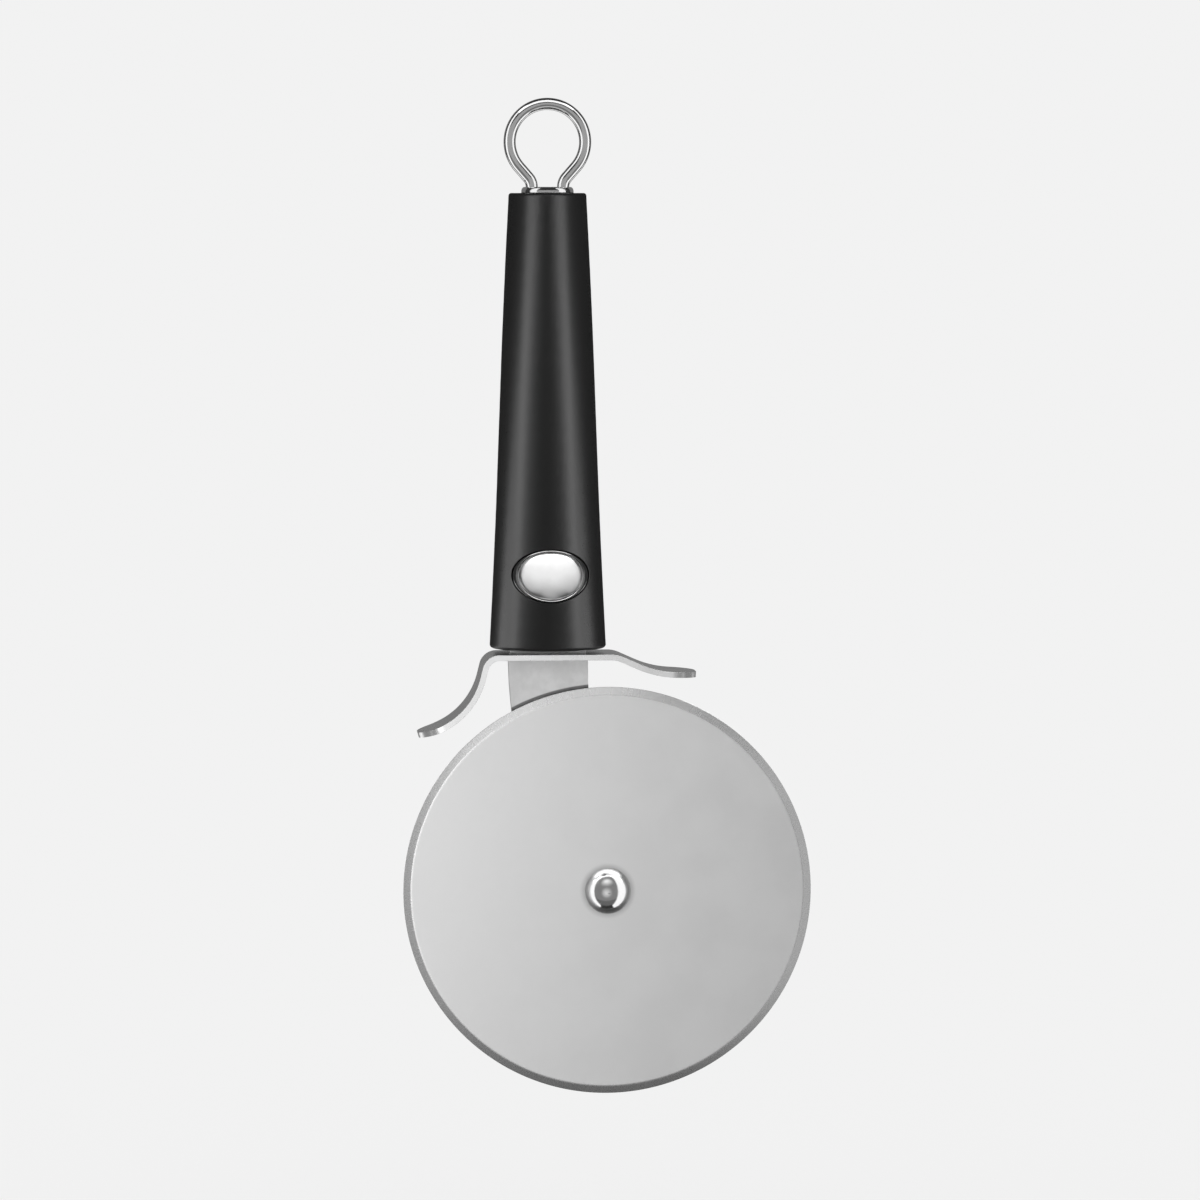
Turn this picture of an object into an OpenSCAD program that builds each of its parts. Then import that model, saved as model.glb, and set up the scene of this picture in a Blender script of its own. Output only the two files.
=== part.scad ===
// A round-handled kitchen cutter: one bevelled wheel turns on a two-piece rivet at the
// end of a flat curved arm. The arm's tang passes through a bent finger guard and is
// pinned in a core inside the barrel grip. A wire loop at the top end hangs the tool up.
//
// The origin is the centre of the hanging loop's ring. +Z runs up along the handle's axis,
// +X is the side to which the wheel is set over, and the domed rivet head faces -Y.

/* [Cutting wheel] */
// Diameter of the wheel
wheel_d = 102.4; // [80:0.2:130]
// Thickness of the wheel
wheel_t = 1.5; // [1:0.1:2.5]
// Width of the ground bevel along the rim
bevel_w = 1.95; // [1:0.05:4]
// Thickness left at the cutting edge
edge_t = 0.3; // [0.1:0.05:0.6]
// Distance from the handle's axis to the axle
axle_x = 14.8; // [6:0.2:24]
// Gap between the wheel's rim and the guard above it
rim_gap = 7.1; // [4:0.1:14]

/* [Rivet] */
// Diameter of the domed front head
dome_d = 11.4; // [9:0.1:16]
// Height of the dome above its rim
dome_h = 4; // [2.5:0.1:5]
// Height of the straight band under the dome
dome_band = 0.4; // [0.2:0.1:1]
// Diameter of the sleeve that the wheel turns on
sleeve_d = 6; // [5:0.1:8]
// Diameter of the front half's shank inside the sleeve
shank_d = 3.8; // [3:0.1:4.2]
// Diameter of the low rear head
rear_head_d = 10; // [9:0.1:14]
// Height of the low rear head above its rim
rear_head_h = 1.6; // [1:0.1:3]
// Height of the straight band under the rear head
rear_band = 0.4; // [0.2:0.1:1]
// Space left between the shank's tip and the rear head
shank_gap = 1; // [0.5:0.1:1.5]
// Diameter of the washer between the arm and the wheel
washer_d = 14; // [10:0.5:16]
// Thickness of that washer
washer_t = 0.8; // [0.5:0.1:2]

/* [Neck] */
// Thickness of the arm and its tang
neck_t = 2; // [1.5:0.1:3]
// Width of the arm where it leaves the guard
neck_w = 20; // [18:0.5:24]
// Width of the arm's round end at the axle
eye_w = 18; // [16:0.5:24]
// Depth of each shoulder that carries the guard
shoulder = 0.5; // [0.3:0.1:1]
// Length of the tang's full-width root inside the core
tang_root_len = 12; // [6:1:20]
// Width of the tang's long narrow part
tang_w = 12; // [8:0.5:15]
// Length of the tang inside the core
tang_len = 62; // [45:1:72]
// Chamfer at the tang's tip
tang_chamfer = 2; // [0.5:0.5:3]

/* [Finger guard] */
// Thickness of the guard strip
guard_t = 1.4; // [1:0.1:2]
// Depth of the strip from front to back
guard_depth = 16; // [14:0.5:22]
// Corner radius at the strip's ends, seen from above
guard_corner_r = 6.2; // [3:0.1:6.8]
// Left wing: flat length from the handle's axis
left_flat = 12.5; // [11:0.1:16]
// Left wing: radius of the downward bend, on its top face
left_bend_r = 4.3; // [3:0.1:8]
// Left wing: angle of the downward bend
left_bend = 76; // [60:1:85]
// Left wing: straight run between its bends
left_run = 2.5; // [1:0.1:6]
// Left wing: radius of the outward sweep, on its top face
left_sweep_r = 18.2; // [12:0.1:26]
// Left wing: angle of the outward sweep
left_sweep = 60; // [40:1:70]
// Left wing: straight length at its tip
left_tip = 2.9; // [2:0.1:6]
// Right wing: flat length from the handle's axis
right_flat = 15.4; // [12:0.1:18]
// Right wing: radius of the downward bend, on its top face
right_bend_r = 7.4; // [5:0.1:12]
// Right wing: angle of the downward bend
right_bend = 24; // [15:1:35]
// Right wing: straight run between its bends
right_run = 4.2; // [1:0.1:8]
// Right wing: radius of the outward sweep, on its top face
right_sweep_r = 24.8; // [16:0.1:32]
// Right wing: angle of the outward sweep
right_sweep = 21; // [10:1:30]
// Right wing: straight length at its tip
right_tip = 6; // [3:0.1:9]

/* [Grip] */
// Length of the barrel
grip_len = 113.2; // [95:0.2:140]
// Diameter at the top end
grip_top_d = 19.3; // [18:0.1:23]
// Diameter at the bottom end
grip_bottom_d = 29.1; // [27.5:0.1:36]
// Swell of the upper half, and equal waist of the lower half
grip_swell = 0.14; // [0:0.01:0.4]
// Edge radius at the top end
grip_top_round = 0.7; // [0.3:0.1:1.2]
// Edge radius at the bottom end
grip_bottom_round = 0.8; // [0.3:0.1:1.5]
// Gap between the barrel's lower rim and the guard
guard_gap = 1.3; // [1:0.1:3]

/* [Core] */
// Wall of the core beside the tang's root
core_wall = 1.1; // [0.8:0.1:1.4]
// Radius that the core loses from its lower to its upper end
core_taper = 2.6; // [2.2:0.1:3.6]
// How far the core's lower end sits above the barrel's rim
core_recess = 1.2; // [0.5:0.1:3]
// Distance from the core's upper end to the ferrule's spigot
core_headroom = 14.8; // [6:0.2:20]
// Play above the core in its cavity
cavity_play = 1; // [0.5:0.5:3]
// Diameter of the two cross pins
pin_d = 3; // [2:0.1:4]
// Height of the lower pin above the barrel's rim
pin_low = 30; // [20:1:34]
// Distance from the tang's tip down to the upper pin
pin_from_tip = 11.2; // [6:0.2:16]
// How far each pin's ends lie under the core's surface, at the upper pin
pin_sink = 0.5; // [0.2:0.1:1]

/* [Badge] */
// Depth of the pocket in the barrel's wall
pocket_depth = 1.7; // [1.2:0.1:1.9]
// Gap between the pocket's wall and the bezel
pocket_gap = 0.25; // [0.1:0.05:0.4]
// Width of the medallion
badge_w = 15.8; // [13:0.1:19]
// Height of the medallion
badge_h = 12; // [9:0.1:15]
// Spherical crown radius of the medallion
badge_crown_r = 15.5; // [14:0.5:22]
// Width of the bezel at either side of the medallion
bezel_side_w = 1.45; // [0.8:0.05:2]
// Width of the bezel above and below the medallion
bezel_end_w = 0.35; // [0.2:0.05:0.8]
// How far the medallion's crown stands proud of the barrel
badge_proud = 1; // [0.5:0.1:1.5]
// How far the bezel stands proud of the barrel
bezel_proud = 0.25; // [0.1:0.05:0.5]
// Height of the badge's centre above the barrel's rim
badge_height = 18.7; // [12:0.1:24]

/* [Hanging loop] */
// Diameter of the wire
wire_d = 3; // [2:0.1:3.6]
// Radius of the ring, to the middle of the wire
loop_r = 9.4; // [8:0.05:12]
// Slant of the legs from the vertical
leg_slant = 41; // [34:0.5:44]
// Spacing of the legs where they enter the ferrule
leg_spacing = 7.8; // [6:0.1:9]
// Radius of the bend where a leg turns down into the ferrule
leg_bend_r = 3.5; // [3:0.1:5]
// Height of the upset foot under the ferrule that locks each leg
foot_h = 1; // [0.5:0.1:2]
// How far that foot stands out from the wire
foot_lip = 0.5; // [0.2:0.1:0.6]

/* [Ferrule] */
// Height of the ferrule's visible rim
ferrule_rise = 1.5; // [0.8:0.1:3]
// How far the rim stands out over the barrel's bore
ferrule_lip = 0.3; // [0.1:0.1:0.8]
// Height of the straight band at the foot of the rim
ferrule_band = 0.4; // [0.2:0.1:0.6]
// Width of the rim's rounded shoulder
ferrule_shoulder = 0.8; // [0.4:0.1:1]
// Wall between each leg's hole and the spigot's side
leg_wall = 0.8; // [0.7:0.1:1.5]
// Length of the spigot
spigot_len = 12; // [6:0.5:18]

/* [Fits] */
// Radial running clearance of the wheel on its sleeve
running_fit = 0.05; // [0.02:0.01:0.1]
// Side clearance on each face of the wheel
side_play = 0.1; // [0.05:0.05:0.3]
// Clearance of pieces that are pressed or bonded together
seat_fit = 0.03; // [0.01:0.01:0.05]

/* [Hidden] */

$fn = 96;
arc_step = 3;        // degrees between the points of a bend
eye_step = 6;        // degrees between the points of the arm's round end
corner_step = 9;     // degrees between the points of a corner in the guard's plan
edge_steps = 6;      // points round a small edge radius
grip_steps = 24;     // stations along the barrel's side
wire_sides = 16;     // sides of the loop's wire
loop_step = 7.5;     // degrees between the loop's rings
past = 1;            // how far a cutting shape runs past the surface it cuts

// Straight run of each leg between the ring and its bend, from the legs' spacing
leg_x = leg_spacing / 2;
leg_run = (loop_r * cos(leg_slant) - leg_bend_r * (1 - cos(leg_slant)) - leg_x) / sin(leg_slant);

// The spigot holds both legs, and the rim covers the barrel's bore
spigot_d = leg_spacing + wire_d + 2 * leg_wall;
ferrule_base_d = spigot_d + 2 * ferrule_lip;
ferrule_top_d = ferrule_base_d - 2 * ferrule_shoulder;

// Heights, from the loop down to the axle
ferrule_top_z = -(loop_r + leg_bend_r) * sin(leg_slant) - leg_run * cos(leg_slant);
grip_top_z = ferrule_top_z - ferrule_rise;
grip_bottom_z = grip_top_z - grip_len;
guard_top_z = grip_bottom_z - guard_gap;
guard_under_z = guard_top_z - guard_t;
axle_z = guard_under_z - rim_gap - wheel_d / 2;
badge_z = grip_bottom_z + badge_height;

// Stations along Y at the axle, from the arm's front face forwards
neck_front_y = -neck_t / 2;
washer_front_y = neck_front_y - washer_t;
wheel_back_y = washer_front_y - side_play;
wheel_front_y = wheel_back_y - wheel_t;
dome_seat_y = wheel_front_y - side_play;
sleeve_len = neck_t / 2 - dome_seat_y;

// The core is wide enough for the tang's root and ends short of the spigot
tang_root_w = neck_w - 2 * shoulder;
core_bottom_r = tang_root_w / 2 + core_wall;
core_bottom_z = grip_bottom_z + core_recess;
core_top_z = grip_top_z - spigot_len - core_headroom;
core_len = core_top_z - core_bottom_z;
pin_heights = [grip_bottom_z + pin_low, core_bottom_z + tang_len - pin_from_tip];

// The bezel goes round the medallion, and the pocket round both
bezel_w = badge_w + 2 * (seat_fit + bezel_side_w);
bezel_h = badge_h + 2 * (seat_fit + bezel_end_w);
pocket_w = bezel_w + 2 * pocket_gap;
pocket_h = bezel_h + 2 * pocket_gap;

// Radius of the barrel at height z: a straight taper with a slight swell and waist
function grip_r(z) =
    let (share = (grip_top_z - z) / grip_len)
    grip_top_d / 2 + (grip_bottom_d - grip_top_d) / 2 * share + grip_swell * sin(360 * share);

// Slope of the barrel's side, as radius gained per length
grip_slope = (grip_bottom_d - grip_top_d) / 2 / grip_len;

pocket_floor_r = grip_r(badge_z) - pocket_depth;

// Radius of the core at height z
function core_r(z) = core_bottom_r - core_taper * (z - core_bottom_z) / core_len;

function last(list) = list[len(list) - 1];
function mirrored(points) = [for (i = [len(points) - 1 : -1 : 0]) [-points[i][0], points[i][1]]];
function arc(centre, r, from, to, steps) =
    [for (i = [0 : steps]) let (a = from + (to - from) * i / steps) centre + r * [cos(a), sin(a)]];

// A path in the XZ plane is a list of stations [x, z, heading]. A heading of 0 runs along +X
// and grows as the path turns down.
function run(from, length) =
    [[from[0] + length * cos(from[2]), from[1] - length * sin(from[2]), from[2]]];
function bend(from, r, turn, step) =
    let (steps = ceil(abs(turn) / step), side = sign(turn) * r)
    [for (i = [1 : steps]) let (h = from[2] + turn * i / steps)
        [from[0] + side * (sin(h) - sin(from[2])), from[1] + side * (cos(h) - cos(from[2])), h]];

// Points beside a path, at a distance towards the side that faces up at heading 0
function beside(path, distance) =
    [for (s = path) [s[0] + distance * sin(s[2]), s[1] + distance * cos(s[2])]];

// Extrudes an outline drawn in the XZ plane along Y, from back_y forwards by depth
module along_y(back_y, depth) {
    translate([0, back_y, 0]) rotate([90, 0, 0]) linear_extrude(depth) children();
}

// A round piece on the axle's line, from back_y forwards
module on_axle(back_y) {
    translate([axle_x, back_y, axle_z]) rotate([90, 0, 0]) children();
}

// An oval prism round the badge's centre, from back_y forwards
module badge_oval(width, height, back_y = 0) {
    translate([0, 0, badge_z]) along_y(back_y, grip_bottom_d + 2 * back_y)
        scale([width / height, 1]) circle(d = height);
}

// The zone of the barrel round the badge, from just above the pocket's floor to a skin that
// stands proud of the barrel
module badge_zone(proud, lift) {
    low = badge_z - pocket_h;
    high = badge_z + pocket_h;
    rotate_extrude() polygon([
        [pocket_floor_r + lift, low], [grip_r(low) + proud, low],
        [grip_r(high) + proud, high], [pocket_floor_r + lift, high]
    ]);
}

// The round core of the barrel that the pocket leaves standing, and that the badge sits on
module pocket_core(r) {
    translate([0, 0, badge_z - pocket_h]) cylinder(r = r, h = 2 * pocket_h);
}

module grip_body() {
    side_low = grip_bottom_z + grip_bottom_round;
    side_high = grip_top_z - grip_top_round;
    cavity_top = core_top_z + cavity_play;
    rotate_extrude() polygon(concat(
        [[core_r(grip_bottom_z) + seat_fit, grip_bottom_z]],
        arc([grip_r(side_low) - grip_bottom_round, side_low], grip_bottom_round, -90, 0, edge_steps),
        [for (i = [1 : grip_steps - 1])
            let (z = side_low + (side_high - side_low) * i / grip_steps) [grip_r(z), z]],
        arc([grip_r(side_high) - grip_top_round, side_high], grip_top_round, 0, 90, edge_steps),
        [
            [spigot_d / 2 + seat_fit, grip_top_z],
            [spigot_d / 2 + seat_fit, cavity_top],
            [core_r(cavity_top) + seat_fit, cavity_top]
        ]
    ));
}

module grip() {
    color("#2b2b2b") difference() {
        grip_body();
        difference() {
            badge_oval(pocket_w, pocket_h);
            pocket_core(pocket_floor_r);
        }
    }
}

// Outline of the tang from the guard's underside up, grown by a clearance
module tang_outline(clearance) {
    root_top = core_bottom_z + tang_root_len + clearance;
    tip = core_bottom_z + tang_len + clearance;
    half_root = tang_root_w / 2 + clearance;
    half = tang_w / 2 + clearance;
    right = [
        [half_root, guard_under_z], [half_root, root_top], [half, root_top],
        [half, tip - tang_chamfer], [half - tang_chamfer, tip]
    ];
    polygon(concat(right, mirrored(right)));
}

// Places its children on both cross pins' axes
module at_pins() {
    for (z = pin_heights) translate([0, 0, z]) rotate([90, 0, 0]) children();
}

module grip_core() {
    color("#3c3c3e") difference() {
        translate([0, 0, core_bottom_z])
            cylinder(r1 = core_bottom_r, r2 = core_bottom_r - core_taper, h = core_len);
        along_y(neck_t / 2 + seat_fit, neck_t + 2 * seat_fit) tang_outline(seat_fit);
        at_pins() cylinder(d = pin_d + 2 * seat_fit, h = 2 * core_bottom_r, center = true);
    }
}

module tang_pins() {
    pin_len = 2 * (core_r(max(pin_heights)) - pin_sink);
    color("silver") at_pins() cylinder(d = pin_d, h = pin_len, center = true);
}

module loop_ferrule() {
    spigot_bottom = grip_top_z - spigot_len;
    shoulder_h = ferrule_rise - ferrule_band;
    color("#c9cacc") difference() {
        rotate_extrude() polygon(concat(
            [
                [0, spigot_bottom], [spigot_d / 2, spigot_bottom], [spigot_d / 2, grip_top_z],
                [ferrule_base_d / 2, grip_top_z]
            ],
            [for (i = [0 : edge_steps]) let (a = 90 * i / edge_steps) [
                ferrule_top_d / 2 + ferrule_shoulder * cos(a),
                grip_top_z + ferrule_band + shoulder_h * sin(a)
            ]],
            [[0, ferrule_top_z]]
        ));
        for (side = [-1, 1])
            translate([side * leg_x, 0, spigot_bottom - past])
                cylinder(d = wire_d + 2 * seat_fit, h = spigot_len + ferrule_rise + 2 * past);
    }
}

// Half of the loop's centre line, from the top of its ring to the foot of its right leg
function loop_half() =
    let (
        top = [0, loop_r, 0],
        ring = bend(top, loop_r, 90 + leg_slant, loop_step),
        leg = run(last(ring), leg_run),
        knee = bend(last(leg), leg_bend_r, -leg_slant, loop_step),
        shank = run(last(knee), ferrule_rise + spigot_len)
    )
    concat(ring, leg, knee, shank);

// Tube round a path of stations [x, z, heading, radius] in the XZ plane, with closed ends
module tube(path) {
    sides = wire_sides;
    rings = len(path);
    points = [for (s = path, k = [0 : sides - 1]) let (a = 360 * k / sides, out = s[3] * cos(a))
        [s[0] + out * sin(s[2]), s[3] * sin(a), s[1] + out * cos(s[2])]];
    skin = [for (i = [0 : rings - 2], k = [0 : sides - 1]) let (next = (k + 1) % sides)
        [i * sides + k, (i + 1) * sides + k, (i + 1) * sides + next, i * sides + next]];
    start = [for (k = [0 : sides - 1]) k];
    end = [for (k = [sides - 1 : -1 : 0]) (rings - 1) * sides + k];
    polyhedron(points, concat([start], skin, [end]), convexity = 6);
}

module hang_loop() {
    wire_r = wire_d / 2;
    half = loop_half();
    foot = last(half);
    right = concat(
        [for (s = half) [s[0], s[1], s[2], wire_r]],
        [
            [foot[0], foot[1] - seat_fit, foot[2], wire_r],
            [foot[0], foot[1] - 2 * seat_fit, foot[2], wire_r + foot_lip],
            [foot[0], foot[1] - foot_h, foot[2], wire_r + foot_lip]
        ]
    );
    left = [for (i = [len(right) - 1 : -1 : 0]) let (s = right[i]) [-s[0], s[1], -s[2], s[3]]];
    color("#d4d6d8") tube(concat(left, [[0, loop_r, 0, wire_r]], right));
}

module badge_bezel() {
    color("#b8babd") intersection() {
        difference() {
            badge_oval(bezel_w, bezel_h);
            badge_oval(badge_w + 2 * seat_fit, badge_h + 2 * seat_fit, past);
        }
        badge_zone(bezel_proud, seat_fit);
    }
}

module badge() {
    crown_y = -(grip_r(badge_z) + badge_proud);
    color("#e3e4e6") difference() {
        intersection() {
            badge_oval(badge_w, badge_h);
            translate([0, crown_y + badge_crown_r, badge_z - badge_crown_r * grip_slope])
                sphere(r = badge_crown_r);
        }
        pocket_core(pocket_floor_r + seat_fit);
    }
}

// Centre line of one wing, from the handle's axis to its tip; the radii given are on the
// strip's top face, so they shrink by half its thickness on a downward bend and grow on the sweep
function wing(flat, bend_r, bend_turn, straight, sweep_r, sweep_turn, tip) =
    let (
        start = run([0, guard_top_z - guard_t / 2, 0], flat),
        down = bend(last(start), bend_r - guard_t / 2, bend_turn, arc_step),
        slope = run(last(down), straight),
        sweep = bend(last(slope), sweep_r + guard_t / 2, -sweep_turn, arc_step)
    )
    concat(start, down, slope, sweep, run(last(sweep), tip));

module finger_guard() {
    left = wing(left_flat, left_bend_r, left_bend, left_run, left_sweep_r, left_sweep, left_tip);
    right = wing(
        right_flat, right_bend_r, right_bend, right_run, right_sweep_r, right_sweep, right_tip
    );
    top = concat(mirrored(beside(left, guard_t / 2)), beside(right, guard_t / 2));
    under = concat(mirrored(beside(left, -guard_t / 2)), beside(right, -guard_t / 2));
    left_x = -last(left)[0];
    right_x = last(right)[0];
    half = guard_depth / 2;
    r = guard_corner_r;
    steps = 90 / corner_step;
    plan = concat(
        arc([right_x - r, half - r], r, 0, 90, steps), arc([left_x + r, half - r], r, 90, 180, steps),
        arc([left_x + r, r - half], r, 180, 270, steps), arc([right_x - r, r - half], r, 270, 360, steps)
    );
    color("#c4c6c8") difference() {
        intersection() {
            along_y(half + past, guard_depth + 2 * past)
                polygon(concat(top, [for (i = [len(under) - 1 : -1 : 0]) under[i]]));
            translate([0, 0, axle_z]) linear_extrude(guard_top_z + past - axle_z) polygon(plan);
        }
        along_y(neck_t / 2 + seat_fit, neck_t + 2 * seat_fit)
            translate([-tang_root_w / 2 - seat_fit, guard_under_z - past])
                square([tang_root_w + 2 * seat_fit, guard_t + 2 * past]);
    }
}

// The arm's centre line is an arc that leaves the guard straight down and ends on the axle
module neck_outline() {
    drop = guard_under_z - axle_z;
    r = (drop * drop + axle_x * axle_x) / (2 * axle_x);
    sweep = asin(drop / r);
    steps = ceil(sweep / arc_step);
    half_eye = eye_w / 2;
    function edge(side, i) =
        let (a = sweep * i / steps, half = neck_w / 2 + (half_eye - neck_w / 2) * i / steps)
        [r - (r - side * half) * cos(a), guard_under_z - (r - side * half) * sin(a)];
    polygon(concat(
        [for (i = [0 : steps]) edge(-1, i)],
        arc([axle_x, axle_z], half_eye, 180 + sweep, 360 + sweep, 180 / eye_step),
        [for (i = [steps : -1 : 0]) edge(1, i)]
    ));
}

module neck() {
    color("#bfc1c3") difference() {
        along_y(neck_t / 2, neck_t) union() {
            neck_outline();
            tang_outline(0);
        }
        on_axle(neck_t / 2 + past) cylinder(d = sleeve_d + 2 * seat_fit, h = neck_t + 2 * past);
        at_pins() cylinder(d = pin_d + 2 * seat_fit, h = neck_t + 2 * past, center = true);
    }
}

module wheel() {
    bore_r = sleeve_d / 2 + running_fit;
    face_r = wheel_d / 2 - bevel_w;
    land = (wheel_t - edge_t) / 2;
    color("#c8cacb") on_axle(wheel_back_y) rotate_extrude() polygon([
        [bore_r, 0], [face_r, 0], [wheel_d / 2, land], [wheel_d / 2, land + edge_t],
        [face_r, wheel_t], [bore_r, wheel_t]
    ]);
}

module spacer_washer() {
    color("#dcdcd8") on_axle(neck_front_y) difference() {
        cylinder(d = washer_d, h = washer_t);
        translate([0, 0, -past]) cylinder(d = sleeve_d + 2 * seat_fit, h = washer_t + 2 * past);
    }
}

// A cap of a sphere on a disc of the same diameter, standing on the XY plane
module domed_head(d, rise, band) {
    ball_r = (d * d / 4 + rise * rise) / (2 * rise);
    intersection() {
        cylinder(d = d, h = band + rise + past);
        translate([0, 0, band + rise - ball_r]) sphere(r = ball_r);
    }
}

module axle_rivet() {
    color("#d8dadc") union() {
        on_axle(dome_seat_y) domed_head(dome_d, dome_h, dome_band);
        on_axle(neck_t / 2 - shank_gap)
            cylinder(d = shank_d, h = sleeve_len - shank_gap + dome_band);
    }
}

module rivet_socket() {
    color("#d0d2d4") difference() {
        union() {
            on_axle(neck_t / 2) mirror([0, 0, 1]) domed_head(rear_head_d, rear_head_h, rear_band);
            on_axle(neck_t / 2 + rear_band) cylinder(d = sleeve_d, h = sleeve_len + rear_band);
        }
        on_axle(neck_t / 2) cylinder(d = shank_d + 2 * seat_fit, h = sleeve_len + past);
    }
}

grip();
grip_core();
tang_pins();
loop_ferrule();
hang_loop();
badge_bezel();
badge();
finger_guard();
neck();
wheel();
spacer_washer();
axle_rivet();
rivet_socket();
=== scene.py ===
"""Dresses a packed kitchen cutter: wire loop, barrel grip, badge, guard strip, arm and wheel.

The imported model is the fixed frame. The loop, the badge and its bezel, the guard strip, the
arm and the wheel are modelled again here with bmesh, because their rolled and bent edges show
from close by. They ride on the frame's bodies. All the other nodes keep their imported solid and
get a procedural finish. Lengths are in metres, and a size given in millimetres is multiplied
by MM. The wheel's front faces -Y, and +Z runs up the handle to the centre of the loop's ring.
"""

import logging
import math
from collections.abc import Callable
from dataclasses import dataclass, field
from enum import Enum

import bmesh
import bpy
from mathutils import Matrix, Vector


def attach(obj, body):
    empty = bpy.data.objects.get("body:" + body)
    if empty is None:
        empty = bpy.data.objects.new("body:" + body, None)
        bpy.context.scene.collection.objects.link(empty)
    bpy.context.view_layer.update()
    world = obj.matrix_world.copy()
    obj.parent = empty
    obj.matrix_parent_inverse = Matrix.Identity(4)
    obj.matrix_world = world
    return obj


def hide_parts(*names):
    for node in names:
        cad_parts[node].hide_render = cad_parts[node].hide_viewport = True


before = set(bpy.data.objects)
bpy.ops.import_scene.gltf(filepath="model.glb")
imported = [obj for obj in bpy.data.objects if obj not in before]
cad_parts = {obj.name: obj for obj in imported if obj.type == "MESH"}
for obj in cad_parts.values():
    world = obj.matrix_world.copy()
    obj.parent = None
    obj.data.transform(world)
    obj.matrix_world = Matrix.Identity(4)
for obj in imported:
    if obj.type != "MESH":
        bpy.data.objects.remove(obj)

LOG = logging.getLogger("cutter")
MM = 0.001
CLOSE = 1e-6            # distance under which two vertices are one
RING_CLOSE = 1e-5       # distance under which a vertex lies on a ring
SHARP_ANGLE = 34.0      # degrees between faces above which an edge stays sharp
FLAT_WEIGHT = 100       # how much a face's area counts in flat shading
EDGE_SAMPLES = 6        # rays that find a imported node's sharp edges
AXLE = Vector((14.8, 0.0, -186.85)) * MM    # where the wheel's axle crosses the handle's plane

WIDE = (0.3, 0.7)       # parts of a noise's range that a finish spreads over its own range
MIDDLE = (0.32, 0.68)
TIGHT = (0.35, 0.65)

Pair = tuple[float, float]
Triple = tuple[float, float, float]
Corners = tuple[Vector, Vector, Vector, Vector]
Form = Callable[[float, float], float]
Edges = list[bmesh.types.BMEdge]
Socket = bpy.types.NodeSocket


class Body(Enum):
    """The frame's bodies, by name."""

    HANDLE = "handle"
    WHEEL = "wheel"


class Slot(Enum):
    """The record's material slots, one for each new piece."""

    LOOP = "loop_wire"
    BEZEL = "bezel_metal"
    BADGE = "badge_metal"
    GUARD = "guard_steel"
    ARM = "neck_steel"
    WHEEL = "wheel_steel"


class Grain(Enum):
    """Which way the fine lines of a metal run, as a stretch of each axis."""

    ALONG_X = (0.04, 1.0, 1.0)
    ALONG_Z = (1.0, 1.0, 0.04)
    ACROSS_Y = (0.04, 1.0, 0.04)
    NONE = (1.0, 1.0, 1.0)


# ---------------------------------------------------------------- shader building


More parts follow.
